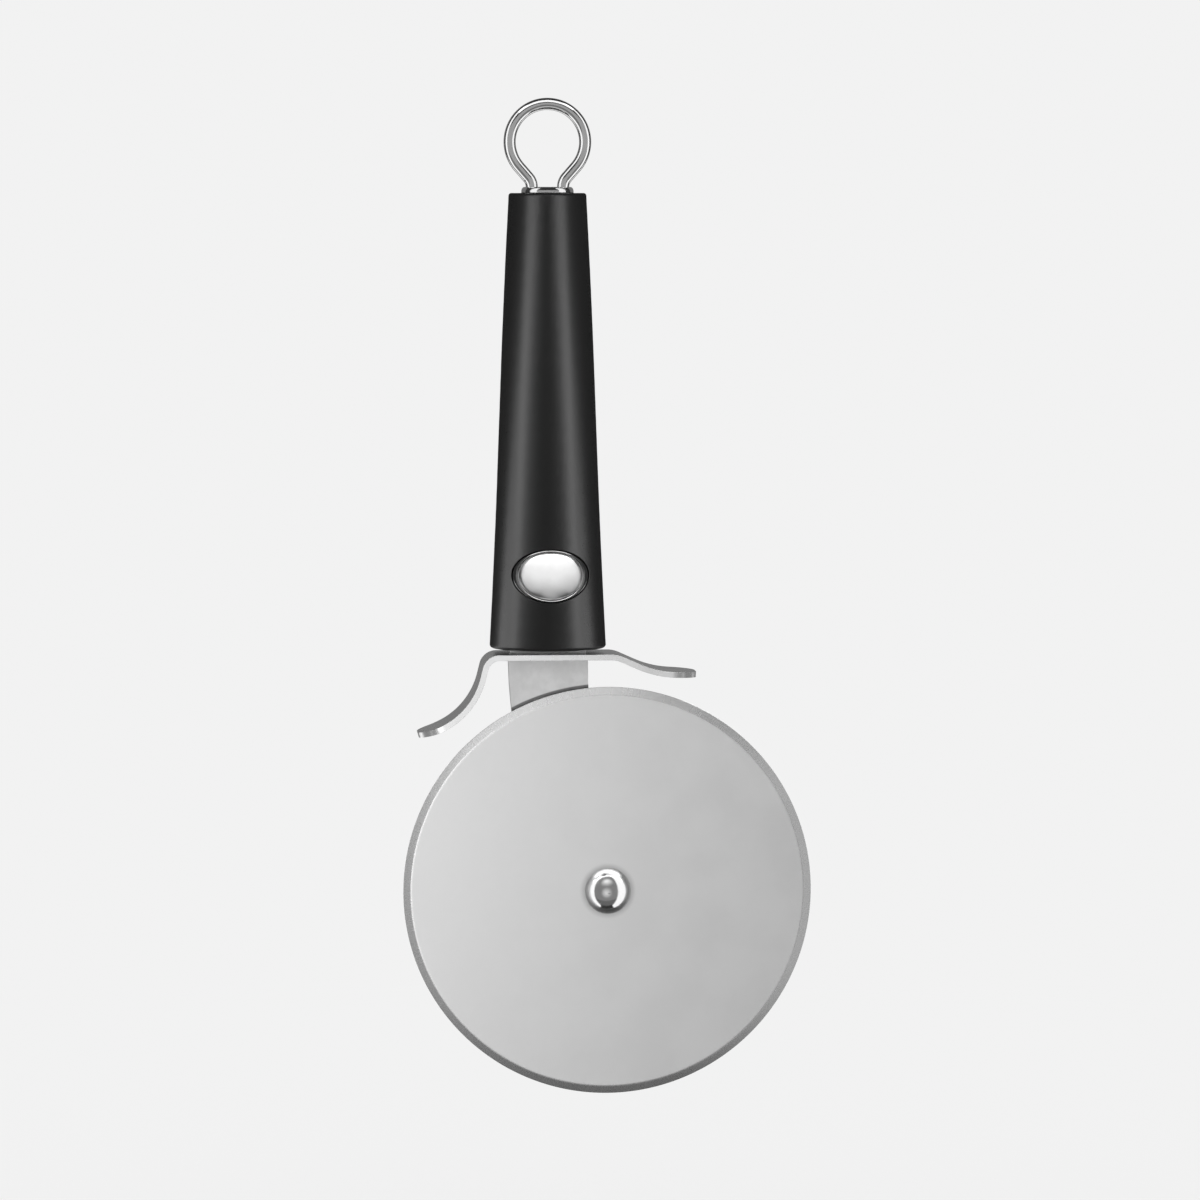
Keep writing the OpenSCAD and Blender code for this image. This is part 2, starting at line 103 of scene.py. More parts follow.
class Shader:
    """A material's node tree, built by short calls that return output sockets."""

    def __init__(self, name: str) -> None:
        """Makes an empty material that reads Object coordinates.

        Args:
            name: Name of the material.
        """
        self.material = bpy.data.materials.new(name)
        self.material.use_nodes = True
        self.tree = self.material.node_tree
        self.tree.nodes.clear()
        self.coords = self.add("ShaderNodeTexCoord").outputs["Object"]

    def add(self, kind: str, **settings: object) -> bpy.types.Node:
        """Adds a node.

        Args:
            kind: The node's type name.
            **settings: Properties to set on the node.

        Returns:
            The new node.
        """
        node = self.tree.nodes.new(kind)
        for key, value in settings.items():
            setattr(node, key, value)
        return node

    def feed(self, node: bpy.types.Node, **inputs: object) -> bpy.types.Node:
        """Links sockets or sets plain values on a node's inputs.

        Args:
            node: The node to feed.
            **inputs: Values by input name, with underscores for spaces.

        Returns:
            The same node.
        """
        for key, value in inputs.items():
            self.plug(node.inputs[key.replace("_", " ")], value)
        return node

    def plug(self, socket: Socket, value: object) -> None:
        """Links or sets one input.

        Args:
            socket: The input.
            value: An output socket, or a plain value.
        """
        if isinstance(value, bpy.types.NodeSocket):
            self.tree.links.new(value, socket)
        else:
            socket.default_value = value

    def placed(self, centre: Vector = Vector(), stretch: Triple = Grain.NONE.value) -> Socket:
        """Object coordinates measured from a centre and stretched.

        Args:
            centre: Point that becomes the pattern's origin.
            stretch: Scale of each axis.

        Returns:
            The vector socket.
        """
        mapping = self.add("ShaderNodeMapping", vector_type="POINT")
        offset = tuple(-c * s for c, s in zip(centre, stretch))
        self.feed(mapping, Vector=self.coords, Location=offset, Scale=stretch)
        return mapping.outputs["Vector"]

    def noise(self, where: Socket, size: float, detail: float = 2.0) -> Socket:
        """Soft noise whose grains are about one size across.

        Args:
            where: Vector socket to sample at.
            size: Size of a grain in metres.
            detail: Octaves of finer noise.

        Returns:
            The factor socket, from 0 to 1 about 0.5.
        """
        node = self.add("ShaderNodeTexNoise")
        self.feed(node, Vector=where, Scale=1.0 / size, Detail=detail)
        return node.outputs[0]

    def span(
        self, value: Socket, low: float, high: float, start: float = 0.0, end: float = 1.0
    ) -> Socket:
        """Maps a range of a value onto another range, clamped and smooth.

        Args:
            value: Socket to map.
            low: Result at the start.
            high: Result at the end.
            start: Value that gives low.
            end: Value that gives high.

        Returns:
            The mapped socket.
        """
        node = self.add("ShaderNodeMapRange", interpolation_type="SMOOTHSTEP")
        self.feed(node, Value=value, From_Min=start, From_Max=end, To_Min=low, To_Max=high)
        return node.outputs["Result"]

    def math(self, operation: str, first: object, second: object = 0.0) -> Socket:
        """Joins two values with one arithmetic operation.

        Args:
            operation: Name of the Math node's operation.
            first: Socket or number.
            second: Socket or number.

        Returns:
            The result socket.
        """
        node = self.add("ShaderNodeMath", operation=operation)
        self.plug(node.inputs[0], first)
        self.plug(node.inputs[1], second)
        return node.outputs[0]

    def vector_math(
        self, operation: str, first: Socket, second: object = (0.0, 0.0, 0.0)
    ) -> bpy.types.Node:
        """Adds a Vector Math node.

        Args:
            operation: Name of the node's operation.
            first: Vector socket.
            second: Vector socket or three numbers.

        Returns:
            The node.
        """
        node = self.add("ShaderNodeVectorMath", operation=operation)
        self.plug(node.inputs[0], first)
        self.plug(node.inputs[1], second)
        return node

    def grey(self, value: Socket) -> Socket:
        """A grey colour.

        Args:
            value: Socket with its linear level.

        Returns:
            The colour socket.
        """
        node = self.add("ShaderNodeCombineColor")
        self.feed(node, Red=value, Green=value, Blue=value)
        return node.outputs["Color"]

    def soft_edges(self, radius: float) -> Socket:
        """Normals that round off sharp edges.

        Args:
            radius: Radius of the softened edge in metres.

        Returns:
            The normal socket.
        """
        node = self.add("ShaderNodeBevel", samples=EDGE_SAMPLES)
        self.feed(node, Radius=radius)
        return node.outputs["Normal"]

    def relief(self, height: Socket, depth: float, strength: float, normal: Socket | None = None) -> Socket:
        """Bump on top of a normal.

        Args:
            height: Height socket, from 0 to 1.
            depth: Height of the relief in metres.
            strength: Strength of the effect, from 0 to 1.
            normal: Normal to add the relief to, or none for the surface's own.

        Returns:
            The normal socket.
        """
        node = self.add("ShaderNodeBump")
        self.feed(node, Height=height, Distance=depth, Strength=strength)
        if normal is not None:
            self.feed(node, Normal=normal)
        return node.outputs["Normal"]

    def finish(self, **inputs: object) -> bpy.types.Material:
        """Ends the tree in a Principled surface.

        Args:
            **inputs: Inputs of the Principled node, with underscores for spaces.

        Returns:
            The finished material.
        """
        surface = self.feed(self.add("ShaderNodeBsdfPrincipled"), **inputs)
        output = self.add("ShaderNodeOutputMaterial")
        self.tree.links.new(surface.outputs["BSDF"], output.inputs["Surface"])
        return self.material


# ---------------------------------------------------------------- finishes


@dataclass(frozen=True)
class Finish:
    """What every finish has: a name and the radius at which its sharp edges look rounded."""

    name: str
    edge: float = 0.0

    def normal(self, s: Shader) -> Socket | None:
        """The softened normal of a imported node's edges, or none for modelled edges."""
        return s.soft_edges(self.edge) if self.edge else None

    def from_centre(self, s: Shader, centre: Vector) -> tuple[Socket, Socket]:
        """Measures from an axis that runs along Y.

        Args:
            s: The material that is being built.
            centre: Point on the axis.

        Returns:
            The flat vector from the axis, and its length.
        """
        flat = s.placed(centre, (1.0, 0.0, 1.0))
        return flat, s.vector_math("LENGTH", flat).outputs["Value"]


@dataclass(frozen=True)
class MouldedPlastic(Finish):
    """Black moulded plastic with an eroded grain, worn smoother where a hand rubs it."""

    level: float = 0.013
    mottle: float = 0.15
    smooth_rough: float = 0.25
    dull_rough: float = 0.31
    grain: float = 0.4 * MM
    grain_rough: float = 0.03
    grain_depth: float = 0.012 * MM
    grain_strength: float = 0.5
    patch: float = 26 * MM

    def material(self) -> bpy.types.Material:
        """Builds the material.

        Returns:
            The material.
        """
        s = Shader(self.name)
        fine = s.noise(s.placed(), self.grain, detail=3.0)
        patch = s.noise(s.placed(stretch=Grain.ALONG_Z.value), self.patch, detail=3.0)
        worn = s.span(patch, self.smooth_rough, self.dull_rough, *WIDE)
        rough = s.math("ADD", worn, s.span(fine, -self.grain_rough, self.grain_rough))
        normal = s.relief(fine, self.grain_depth, self.grain_strength, self.normal(s))
        low, high = self.level * (1 - self.mottle), self.level * (1 + self.mottle)
        colour = s.grey(s.span(patch, low, high, *WIDE))
        return s.finish(Base_Color=colour, Roughness=rough, Normal=normal, Specular_IOR_Level=0.5)


@dataclass(frozen=True)
class PolishedMetal(Finish):
    """Plated or buffed metal with a faint haze and hairlines."""

    level: float = 0.84
    dulled: float = 0.95
    dulled_part: Pair = (0.3, 0.6)
    rough: float = 0.08
    least_rough: float = 0.75
    most_rough: float = 1.35
    haze: float = 3 * MM
    hair: float = 0.2 * MM
    hair_rough: Pair = (-0.01, 0.02)
    hair_depth: float = 0.002 * MM
    hair_strength: float = 0.2
    grain: Grain = Grain.NONE

    def material(self) -> bpy.types.Material:
        """Builds the material.

        Returns:
            The material.
        """
        s = Shader(self.name)
        haze = s.noise(s.placed(), self.haze, detail=4.0)
        hair = s.noise(s.placed(stretch=self.grain.value), self.hair, detail=2.0)
        hazy = s.span(haze, self.rough * self.least_rough, self.rough * self.most_rough, *WIDE)
        rough = s.math("ADD", hazy, s.span(hair, *self.hair_rough))
        normal = s.relief(hair, self.hair_depth, self.hair_strength, self.normal(s))
        colour = s.grey(s.span(haze, self.level * self.dulled, self.level, *self.dulled_part))
        return s.finish(Base_Color=colour, Metallic=1.0, Roughness=rough, Normal=normal)


@dataclass(frozen=True)
class SatinSteel(Finish):
    """Rolled steel with a satin face, fine lines one way and cloudy patches."""

    level: float = 0.68
    cloudy: float = 0.04
    rough: float = 0.34
    uneven: float = 0.1
    grain: Grain = Grain.ALONG_X
    line: float = 0.16 * MM
    line_rough: float = 0.04
    line_depth: float = 0.004 * MM
    line_strength: float = 0.35
    cloud: float = 9 * MM

    def material(self) -> bpy.types.Material:
        """Builds the material.

        Returns:
            The material.
        """
        s = Shader(self.name)
        cloud = s.noise(s.placed(), self.cloud, detail=4.0)
        line = s.noise(s.placed(stretch=self.grain.value), self.line, detail=2.0)
        low, high = self.rough * (1 - self.uneven), self.rough * (1 + self.uneven)
        clouded = s.span(cloud, low, high, *WIDE)
        rough = s.math("ADD", clouded, s.span(line, -self.line_rough, self.line_rough))
        normal = s.relief(line, self.line_depth, self.line_strength, self.normal(s))
        low, high = self.level * (1 - self.cloudy), self.level * (1 + self.cloudy)
        colour = s.grey(s.span(cloud, low, high, *MIDDLE))
        return s.finish(Base_Color=colour, Metallic=1.0, Roughness=rough, Normal=normal)


@dataclass(frozen=True)
class ArmSteel(Finish):
    """Blotchy pickled sheet whose front has a painted dark line of shade along the wheel's rim, where the
    wheel shadows the arm.
    """

    centre: Vector = field(default_factory=Vector)
    rim_radius: float = 51.2 * MM
    # painted shade: the dark line that stands for the wheel's shadow on the arm, with its half width, fade
    # and tone
    residue: float = 0.5 * MM
    residue_fade: float = 0.35 * MM
    residue_tone: float = 0.3
    front_y: float = -1.0 * MM
    front_fade: float = 0.1 * MM
    level: float = 0.6
    rough: float = 0.4
    uneven: Pair = (0.9, 1.12)
    blotch: float = 2.6 * MM
    blotch_tone: Pair = (0.93, 1.03)
    cloud: float = 11 * MM
    cloud_tone: Pair = (0.96, 1.02)
    line: float = 0.18 * MM
    line_rough: float = 0.03
    line_depth: float = 0.003 * MM
    line_strength: float = 0.3

    def material(self) -> bpy.types.Material:
        """Builds the material.

        Returns:
            The material.
        """
        s = Shader(self.name)
        blotch = s.noise(s.placed(), self.blotch, detail=3.0)
        cloud = s.noise(s.placed(), self.cloud, detail=2.0)
        line = s.noise(s.placed(stretch=Grain.ALONG_Z.value), self.line, detail=2.0)
        blotched = s.span(blotch, *self.blotch_tone, *TIGHT)
        tone = s.math("MULTIPLY", blotched, s.span(cloud, *self.cloud_tone, *TIGHT))
        clean = s.math("MULTIPLY", tone, self.level)
        # painted shade along the wheel's rim darkens the front of the arm
        colour = s.math("MULTIPLY", clean, self.rim_line(s))
        low, high = (self.rough * share for share in self.uneven)
        uneven = s.span(blotch, low, high, *WIDE)
        rough = s.math("ADD", uneven, s.span(line, -self.line_rough, self.line_rough))
        normal = s.relief(line, self.line_depth, self.line_strength, self.normal(s))
        return s.finish(Base_Color=s.grey(colour), Metallic=1.0, Roughness=rough, Normal=normal)

    def rim_line(self, s: Shader) -> Socket:
        """The share of the tone that the painted shade line along the wheel's rim leaves, which is less
        than 1 on the front alone.

        Args:
            s: The material that is being built.

        Returns:
            The share's socket.
        """
        radius = self.from_centre(s, self.centre)[1]
        off_line = s.math("ABSOLUTE", s.math("SUBTRACT", radius, self.rim_radius))
        clear = s.span(off_line, 0.0, 1.0, self.residue, self.residue + self.residue_fade)
        depth = s.vector_math("DOT_PRODUCT", s.coords, (0.0, 1.0, 0.0)).outputs["Value"]
        behind = s.span(depth, 0.0, 1.0, self.front_y, self.front_y + self.front_fade)
        return s.math("MAXIMUM", s.span(clear, self.residue_tone, 1.0), behind)


@dataclass(frozen=True)
class WheelSteel(Finish):
    """Blade steel: a satin turned face and a cross-ground bevel, with painted shade in the crease between
    them and round the hub.
    """

    centre: Vector = field(default_factory=Vector)
    face_radius: float = 49.25 * MM
    level: float = 0.7
    face_rough: float = 0.34
    face_uneven: Pair = (-0.02, 0.03)
    bevel_rough: float = 0.27
    bevel_uneven: float = 0.01
    haze: float = 14 * MM
    haze_tone: Pair = (0.975, 1.02)
    ring: float = 0.22 * MM
    ring_rough: float = 0.02
    ring_depth: float = 0.002 * MM
    ring_strength: float = 0.08
    scratch: float = 1.6 * MM
    # painted shade: a darker ring in the crease where the face meets the bevel
    scored: float = 0.92
    score_in: float = 0.04 * MM
    score_out: float = 0.26 * MM
    blend: float = 0.05 * MM
    hub_radius: float = 5.7 * MM
    # painted shade: a darker ring round the hub, where the rivet's dome shades the wheel
    hub_residue: float = 1.6 * MM
    hub_tone: float = 0.72

    def material(self) -> bpy.types.Material:
        """Builds the material.

        Returns:
            The material.
        """
        s = Shader(self.name)
        flat, radius = self.from_centre(s, self.centre)
        turned = s.noise(self.radial(s, radius), self.ring, detail=2.0)
        spoke = s.vector_math("NORMALIZE", flat).outputs["Vector"]
        ground = s.noise(spoke, self.scratch / self.face_radius, detail=2.0)
        haze = s.noise(s.placed(), self.haze, detail=4.0)
        start, end = self.face_radius - self.blend, self.face_radius + self.blend
        on_bevel = s.span(radius, 0.0, 1.0, start, end)
        on_face = s.span(on_bevel, 1.0, 0.0)
        low, high = (self.face_rough + change for change in self.face_uneven)
        hazy = s.span(haze, low, high, *WIDE)
        rough_face = s.math("ADD", hazy, s.span(turned, -self.ring_rough, self.ring_rough))
        low, high = self.bevel_rough - self.bevel_uneven, self.bevel_rough + self.bevel_uneven
        rough_bevel = s.span(ground, low, high, *WIDE)
        rough = s.math(
            "ADD", s.math("MULTIPLY", rough_face, on_face), s.math("MULTIPLY", rough_bevel, on_bevel)
        )
        low, high = (self.level * share for share in self.haze_tone)
        misty = s.span(haze, low, high, *MIDDLE)
        # painted shade in the crease and round the hub darkens the tone
        tone = s.math("MULTIPLY", misty, self.marks(s, radius))
        height = s.math("MULTIPLY", turned, on_face)
        normal = s.relief(height, self.ring_depth, self.ring_strength, self.normal(s))
        return s.finish(Base_Color=s.grey(tone), Metallic=1.0, Roughness=rough, Normal=normal)

    def marks(self, s: Shader, radius: Socket) -> Socket:
        """The share of the tone left by painted shade: a dark line in the crease where the face meets the
        bevel, and a dark ring round the hub where the rivet shades the wheel.

        Args:
            s: The material that is being built.
            radius: Distance from the axle.

        Returns:
            The share's socket.
        """
        line = s.math("ABSOLUTE", s.math("SUBTRACT", radius, self.face_radius))
        # painted shade along the crease at the face's edge
        score = s.span(line, self.scored, 1.0, self.score_in, self.score_out)
        # painted shade round the hub, next to the rivet's dome
        hub = s.span(radius, self.hub_tone, 1.0, self.hub_radius, self.hub_radius + self.hub_residue)
        return s.math("MULTIPLY", score, hub)

    def radial(self, s: Shader, radius: Socket) -> Socket:
        """A vector that changes with the radius alone.

        Args:
            s: The material that is being built.
            radius: Distance from the axle.

        Returns:
            The vector socket.
        """
        node = s.add("ShaderNodeCombineXYZ")
        s.feed(node, X=radius)
        return node.outputs["Vector"]


@dataclass(frozen=True)
class Nylon(Finish):
    """Milky bearing nylon."""

    level: float = 0.72
    dulled: float = 0.93
    rough: Pair = (0.4, 0.55)
    scatter: float = 0.1
    haze: float = 2 * MM

    def material(self) -> bpy.types.Material:
        """Builds the material.

        Returns:
            The material.
        """
        s = Shader(self.name)
        haze = s.noise(s.placed(), self.haze, detail=3.0)
        colour = s.grey(s.span(haze, self.level * self.dulled, self.level, *WIDE))
        rough = s.span(haze, *self.rough)
        return s.finish(Base_Color=colour, Roughness=rough, Subsurface_Weight=self.scatter)


# ---------------------------------------------------------------- mesh tools


def edges_between(vertices: list[bmesh.types.BMVert]) -> Edges:
    """Finds the edges whose two ends are both among some vertices.

    Args:
        vertices: The vertices.

    Returns:
        The edges, in the order in which they are found.
    """
    chosen = set(vertices)
    near = dict.fromkeys(e for v in vertices for e in v.link_edges)
    return [e for e in near if all(v in chosen for v in e.verts)]


def newest(geometry: list) -> Edges:
    """The edges that an operator's new vertices span.

    Args:
        geometry: What a bmesh operator returned.

    Returns:
        Their edges.
    """
    return edges_between([g for g in geometry if isinstance(g, bmesh.types.BMVert)])


def chain(bm: bmesh.types.BMesh, points: list[Vector]) -> Edges:
    """Joins a few points by edges.

    Args:
        bm: Mesh to draw in.
        points: Corners of the open chain.

    Returns:
        The new edges.
    """
    corners = [bm.verts.new(p) for p in points]
    return [bm.edges.new(pair) for pair in zip(corners, corners[1:])]


class Sweep:
    """A row of edges that is drawn along straights and bends in the XZ plane.

    A heading of 0 runs along +X and grows as the path turns down, so 90 runs along -Z.
    """

    def __init__(self, bm: bmesh.types.BMesh, row: Edges, at: Pair, heading: float) -> None:
        """Starts a sweep.

        Args:
            bm: Mesh that holds the row.
            row: Edges to draw along the path.
            at: Where the path starts, as x and z.
            heading: Direction in degrees.
        """
        self.bm = bm
        self.row = row
        self.at = Vector((at[0], 0.0, at[1]))
        self.heading = heading

    def direction(self, turned: float = 0.0) -> Vector:
        """Unit vector of the heading.

        Args:
            turned: Degrees to turn it down by.

        Returns:
            The vector.
        """
        angle = math.radians(self.heading + turned)
        return Vector((math.cos(angle), 0.0, -math.sin(angle)))

    def straight(self, length: float, steps: int = 1) -> "Sweep":
        """Draws the row straight on.

        Args:
            length: How far.
            steps: Number of equal steps.

        Returns:
            This sweep.
        """
        move = self.direction() * (length / steps)
        for _ in range(steps):
            made = bmesh.ops.extrude_edge_only(self.bm, edges=self.row)["geom"]
            self.row = newest(made)
            ends = [g for g in made if isinstance(g, bmesh.types.BMVert)]
            bmesh.ops.translate(self.bm, verts=ends, vec=move)
        self.at += move * steps
        return self

    def bend(self, radius: float, turn: float, step: float) -> "Sweep":
        """Draws the row round a bend.

        Args:
            radius: Radius of the path.
            turn: Degrees to turn down, or up if negative.
            step: About how many degrees each step takes.

        Returns:
            This sweep.
        """
        centre = self.at + self.direction(math.copysign(90.0, turn)) * radius
        steps = math.ceil(abs(turn) / step)
        made = bmesh.ops.spin(
            self.bm, geom=self.row, cent=centre, axis=(0.0, 1.0, 0.0), dvec=(0.0, 0.0, 0.0),
            angle=math.radians(turn), steps=steps, use_merge=False, use_duplicate=False,
        )["geom_last"]
        self.row = newest(made)
        self.heading += turn
        self.at = centre - self.direction(math.copysign(90.0, turn)) * radius
        return self


class OvalLoft:
    """Oval loops that are drawn one from another and laid on a given form."""

    def __init__(self, bm: bmesh.types.BMesh, sides: int, centre_z: float) -> None:
        """Starts a loft with one oval.

        Args:
            bm: Mesh to draw in.
            sides: Number of sides of each oval.
            centre_z: Height of the ovals' centre.
        """
        self.bm = bm
        self.centre_z = centre_z
        made = bmesh.ops.create_circle(bm, cap_ends=False, segments=sides, radius=1.0)
        self.loop = list(made["verts"])
        self.first = self.loop
        self.unit = [v.co.copy() for v in self.loop]

    def shape(self, half_w: float, half_h: float, front: Form) -> None:
        """Gives the current loop its size, and lays it on a form.

        Args:
            half_w: Half its width.
            half_h: Half its height.
            front: Gives how far in front of the axis the form lies, from x and z.
        """
        for vertex, unit in zip(self.loop, self.unit):
            x, z = unit.x * half_w, self.centre_z + unit.y * half_h
            vertex.co = Vector((x, -front(x, z), z))

    def draw(self, half_w: float, half_h: float, front: Form) -> None:
        """Draws the next loop from the current one.

        Args:
            half_w: Half its width.
            half_h: Half its height.
            front: Gives how far in front of the axis the form lies, from x and z.
        """
        made = bmesh.ops.extrude_edge_only(self.bm, edges=edges_between(self.loop))["geom"]
        fresh = {g for g in made if isinstance(g, bmesh.types.BMVert)}
        self.loop = [
            next(e.other_vert(v) for e in v.link_edges if e.other_vert(v) in fresh) for v in self.loop
        ]
        self.shape(half_w, half_h, front)


@dataclass
class SubAssembly:
    """Pieces of the tool that are made and dressed together."""

    made: dict[str, bpy.types.Object] = field(default_factory=dict, init=False)

    def keep(
        self, bm: bmesh.types.BMesh, name: str, body: Body, slot: Slot, node: str
    ) -> bpy.types.Object:
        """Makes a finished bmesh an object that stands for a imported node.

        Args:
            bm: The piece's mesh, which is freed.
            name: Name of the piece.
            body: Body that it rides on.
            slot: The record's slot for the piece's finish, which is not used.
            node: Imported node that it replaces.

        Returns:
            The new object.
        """
        bmesh.ops.remove_doubles(bm, verts=bm.verts, dist=CLOSE)
        mesh = bpy.data.meshes.new(name)
        bm.to_mesh(mesh)
        bm.free()
        mesh.shade_smooth()
        mesh.set_sharp_from_angle(angle=math.radians(SHARP_ANGLE))
        piece = bpy.data.objects.new(name, mesh)
        bpy.context.scene.collection.objects.link(piece)
        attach(piece, body.value)
        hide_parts(node)
        self.made[name] = piece
        LOG.info("made %s: %d faces on %s", name, len(mesh.polygons), body.value)
        return piece

    def soften(self, piece: bpy.types.Object, width: float, segments: int = 3) -> None:
        """Rounds a piece's sharp edges by modifiers.

        Args:
            piece: The piece.
            width: Width of the rounding.
            segments: Number of faces across it.
        """
        rounding = piece.modifiers.new("rounding", "BEVEL")
        rounding.width = width
        rounding.segments = segments
        rounding.limit_method = "ANGLE"
        rounding.angle_limit = math.radians(SHARP_ANGLE)
        rounding.harden_normals = True

    def flatten_shading(self, piece: bpy.types.Object) -> None:
        """Makes wide flat faces shade flat up to their rounded edges.

        Args:
            piece: The piece.
        """
        weighting = piece.modifiers.new("flat_shading", "WEIGHTED_NORMAL")
        weighting.keep_sharp = True
        weighting.weight = FLAT_WEIGHT

    def dress(self, finishes: dict[str, bpy.types.Material]) -> None:
        """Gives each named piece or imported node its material.

        Args:
            finishes: Materials by piece or node name.
        """
        for name, material in finishes.items():
            piece = self.made.get(name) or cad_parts[name]
            piece.data.materials.clear()
            piece.data.materials.append(material)
            LOG.info("dressed %s in %s", name, material.name)


# ---------------------------------------------------------------- the tool's sub-assemblies


@dataclass(frozen=True)
class Barrel:
    """The grip's outer form, which the badge and its bezel follow."""

    top_z: float = -12.65 * MM
    length: float = 113.2 * MM
    top_r: float = 9.65 * MM
    bottom_r: float = 14.55 * MM
    swell: float = 0.14 * MM

    def radius(self, z: float) -> float:
        """Radius of the barrel at a height.

        Args:
            z: Height.

        Returns:
            The radius.
        """
        share = (self.top_z - z) / self.length
        return self.top_r + (self.bottom_r - self.top_r) * share + self.swell * math.sin(math.tau * share)

    def slope(self) -> float:
        """Radius that the side gains for each length down."""
        return (self.bottom_r - self.top_r) / self.length


@dataclass(frozen=True)
class Wing:
    """Sizes of one wing of the guard, in order from the handle's axis to the tip."""

    flat: float
    bend_r: float
    bend: float
    run: float
    sweep_r: float
    sweep: float
    tip: float


@dataclass
class HangingLoop(SubAssembly):
    """The bent wire loop, with its upset feet, and the ferrule that holds them."""

    wire_r: float = 1.5 * MM
    ring_r: float = 9.4 * MM
    slant: float = 41.0
    knee_r: float = 3.5 * MM
    spacing: float = 7.8 * MM
    run: float = 3.56 * MM
    knee_z: float = -11.15 * MM
    foot_z: float = -24.65 * MM
    foot_h: float = 1.0 * MM
    foot_step: float = 0.06 * MM
    foot_lip: float = 0.5 * MM
    sides: int = 32
    step: float = 2.5

    def build(self) -> None:
        """Draws a round section along the whole path of the wire, from foot to foot."""
        bm = bmesh.new()
        left = Vector((-self.spacing / 2, 0.0, self.foot_z))
        section = bmesh.ops.create_circle(
            bm, cap_ends=False, segments=self.sides, radius=self.wire_r, matrix=Matrix.Translation(left)
        )["verts"]
        start = edges_between(section)
        leg = self.knee_z - self.foot_z
        sweep = Sweep(bm, start, (left.x, left.z), -90.0)
        sweep.straight(leg).bend(self.knee_r, -self.slant, self.step).straight(self.run)
        sweep.bend(self.ring_r, 180.0 + 2 * self.slant, self.step)
        sweep.straight(self.run).bend(self.knee_r, -self.slant, self.step).straight(leg)
        for row, x in ((start, left.x), (sweep.row, -left.x)):
            self.upset(bm, row, Vector((x, 0.0, 0.0)))
        bmesh.ops.recalc_face_normals(bm, faces=bm.faces)
        self.keep(bm, "wire_loop", Body.HANDLE, Slot.LOOP, "hang_loop")

    def upset(self, bm: bmesh.types.BMesh, row: Edges, leg: Vector) -> None:
        """Forms the wider foot that locks a leg, and closes it.

        Args:
            bm: The loop's mesh.
            row: The leg's open end.
            leg: The leg's axis.
        """
        wider = (self.wire_r + self.foot_lip) / self.wire_r
        for drop, grow in ((self.foot_step, wider), (self.foot_h - self.foot_step, 1.0)):
            made = bmesh.ops.extrude_edge_only(bm, edges=row)["geom"]
            ends = [g for g in made if isinstance(g, bmesh.types.BMVert)]
            bmesh.ops.translate(bm, verts=ends, vec=(0.0, 0.0, -drop))
            bmesh.ops.scale(bm, verts=ends, vec=(grow, grow, 1.0), space=Matrix.Translation(-leg))
            row = newest(made)
        bmesh.ops.holes_fill(bm, edges=row, sides=0)

    def finish(self) -> None:
        """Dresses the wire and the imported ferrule."""
        wire = PolishedMetal("loop_plate", level=0.86, rough=0.07)
        ferrule = PolishedMetal("ferrule_plate", edge=0.3 * MM, level=0.8, rough=0.1)
        self.dress({"wire_loop": wire.material(), "loop_ferrule": ferrule.material()})


@dataclass
class BarrelGrip(SubAssembly):
    """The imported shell, and the core and pins inside it."""

    def build(self) -> None:
        """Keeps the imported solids, whose barrel and pocket are exact."""
        LOG.info("kept grip, grip_core and tang_pins")

    def finish(self) -> None:
        """Dresses the shell, the core and the pins."""
        core = MouldedPlastic("core_plastic_grey", level=0.05, smooth_rough=0.5, dull_rough=0.6)
        self.dress({
            "grip": MouldedPlastic("grip_plastic_black", edge=0.3 * MM).material(),
            "grip_core": core.material(),
            "tang_pins": SatinSteel("pin_steel_ground", edge=0.2 * MM, grain=Grain.ACROSS_Y).material(),
        })


